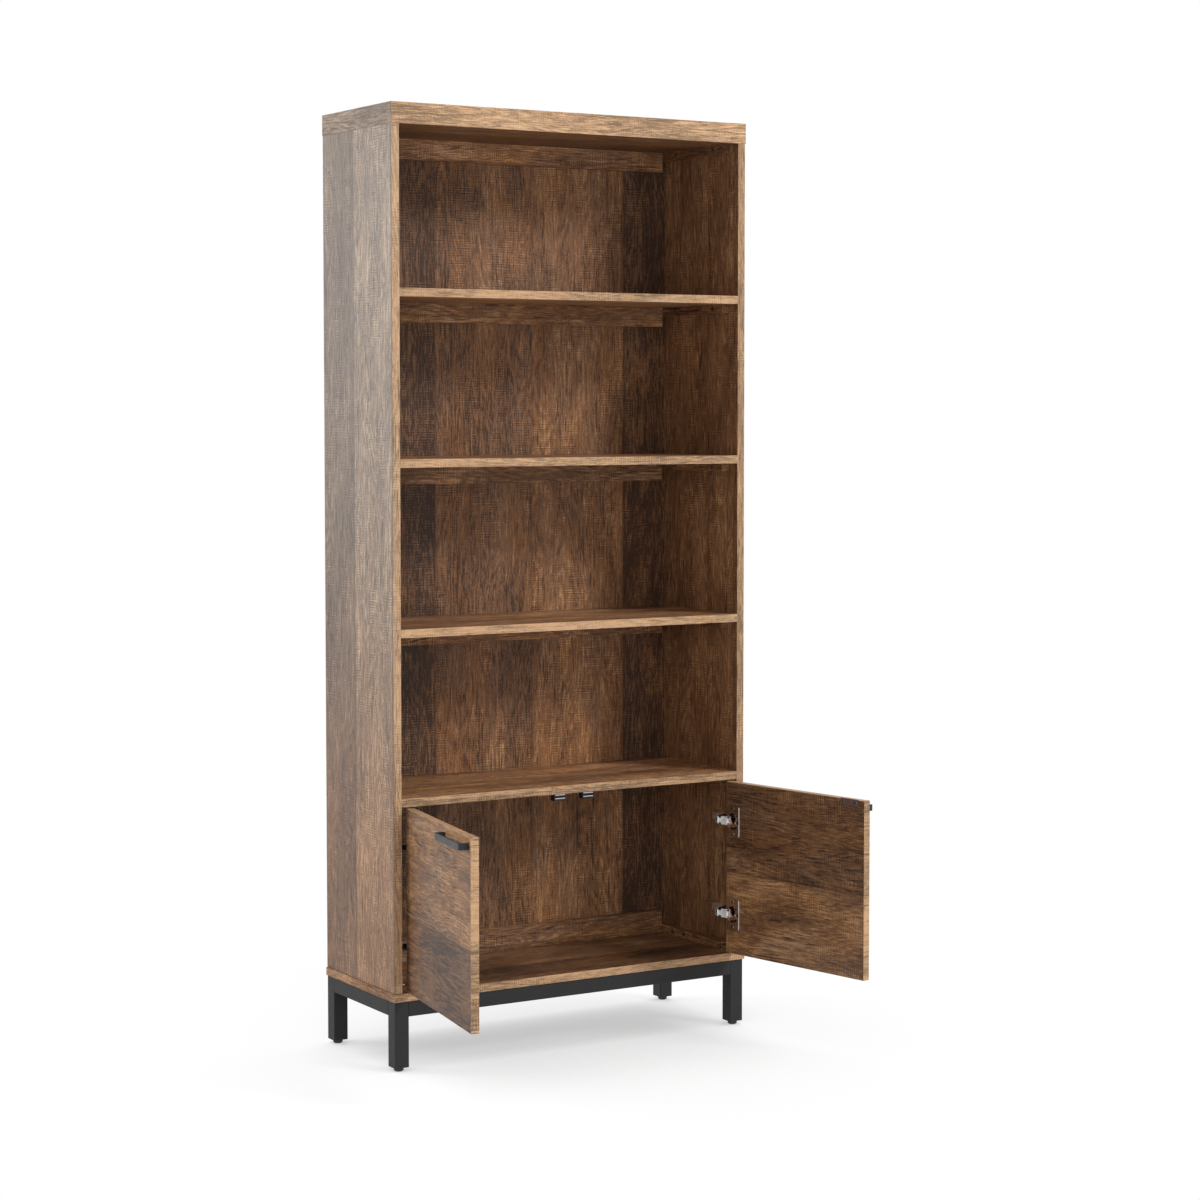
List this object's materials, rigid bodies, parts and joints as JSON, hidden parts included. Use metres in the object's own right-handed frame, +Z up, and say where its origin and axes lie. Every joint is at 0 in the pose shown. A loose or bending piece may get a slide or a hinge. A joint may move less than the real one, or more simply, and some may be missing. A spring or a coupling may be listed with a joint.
{
  "type": "bookcase with cabinet doors",
  "caption": "Tall narrow bookcase with open shelves over a small cabinet with hinged doors, on a square-tube metal base.",
  "frame": {"origin": "on the floor, under the centre of the carcass", "axes": "+Z up, front faces -Y, +X to the right of someone who stands in front"},
  "size_m": [0.9098, 0.6706, 1.83],
  "materials": {
    "carcass_laminate": "rustic saw-marked oak laminate, matt",
    "rail_laminate": "the same laminate on strips and rails",
    "back_laminate": "the same laminate in shade-brown on the thin back",
    "door_laminate": "the same laminate with the grain across the door",
    "base_paint": "matt charcoal powder coat",
    "handle_paint": "satin black",
    "glide_plastic": "black",
    "hinge_nickel": "nickel plated",
    "strike_paint": "brown",
    "catch_plastic": "dark brown",
    "pole_steel": "bright edge",
    "dowel_wood": "bare beech"
  },
  "bodies": {
    "cabinet": {"back_base_rail": "base_paint", "back_left_leg": "base_paint", "back_panel": "back_laminate", "back_right_leg": "base_paint", "bottom_board": "carcass_laminate", "cabinet_shelf": "carcass_laminate", "cabinet_shelf_back_rail": "rail_laminate", "cabinet_shelf_cleats": "rail_laminate", "catch_housings": "catch_plastic", "catch_pole_plates": "pole_steel", "dowels": "dowel_wood", "floor_back_rail": "rail_laminate", "floor_cleats": "rail_laminate", "front_base_rail": "base_paint", "front_left_leg": "base_paint", "front_right_leg": "base_paint", "left_arm_pins": "hinge_nickel", "left_base_rail": "base_paint", "left_hinge_arms": "hinge_nickel", "left_hinge_plates": "hinge_nickel", "left_side_panel": "carcass_laminate", "leg_glides": "glide_plastic", "lower_shelf": "carcass_laminate", "lower_shelf_back_rail": "rail_laminate", "lower_shelf_cleats": "rail_laminate", "middle_shelf": "carcass_laminate", "middle_shelf_back_rail": "rail_laminate", "middle_shelf_cleats": "rail_laminate", "right_arm_pins": "hinge_nickel", "right_base_rail": "base_paint", "right_hinge_arms": "hinge_nickel", "right_hinge_plates": "hinge_nickel", "right_side_panel": "carcass_laminate", "top_back_rail": "rail_laminate", "top_board": "carcass_laminate", "top_cleats": "rail_laminate", "upper_shelf": "carcass_laminate", "upper_shelf_back_rail": "rail_laminate", "upper_shelf_cleats": "rail_laminate"},
    "left_hinge_links": {"left_hinge_links": "hinge_nickel"},
    "right_hinge_links": {"right_hinge_links": "hinge_nickel"},
    "left_door": {"left_cup_pins": "hinge_nickel", "left_door": "door_laminate", "left_handle": "handle_paint", "left_hinge_cups": "hinge_nickel", "left_strike_plate": "strike_paint"},
    "right_door": {"right_cup_pins": "hinge_nickel", "right_door": "door_laminate", "right_handle": "handle_paint", "right_hinge_cups": "hinge_nickel", "right_strike_plate": "strike_paint"}
  },
  "joints": [
    {"name": "left_link_pivot", "type": "hinge", "parent": "cabinet", "child": "left_hinge_links", "pos_m": [-0.3456, -0.1342, 0.3285], "axis": [0, 0, 1], "range_deg": [-52.84, 0]},
    {"name": "left_door_hinge", "type": "hinge", "parent": "left_hinge_links", "child": "left_door", "pos_m": [-0.35981, -0.15593, 0.3285], "axis": [0, 0, 1], "range_deg": [0, 152.33]},
    {"name": "right_link_pivot", "type": "hinge", "parent": "cabinet", "child": "right_hinge_links", "pos_m": [0.3456, -0.1342, 0.3285], "axis": [0, 0, 1], "range_deg": [0, 53.74]},
    {"name": "right_door_hinge", "type": "hinge", "parent": "right_hinge_links", "child": "right_door", "pos_m": [0.35947, -0.15615, 0.3285], "axis": [0, 0, 1], "range_deg": [-154.94, 0]}
  ],
  "couplings": [
    {"joint": "left_link_pivot", "follows": "left_door_hinge", "ratio": -0.34683},
    {"joint": "right_link_pivot", "follows": "right_door_hinge", "ratio": -0.34683}
  ]
}
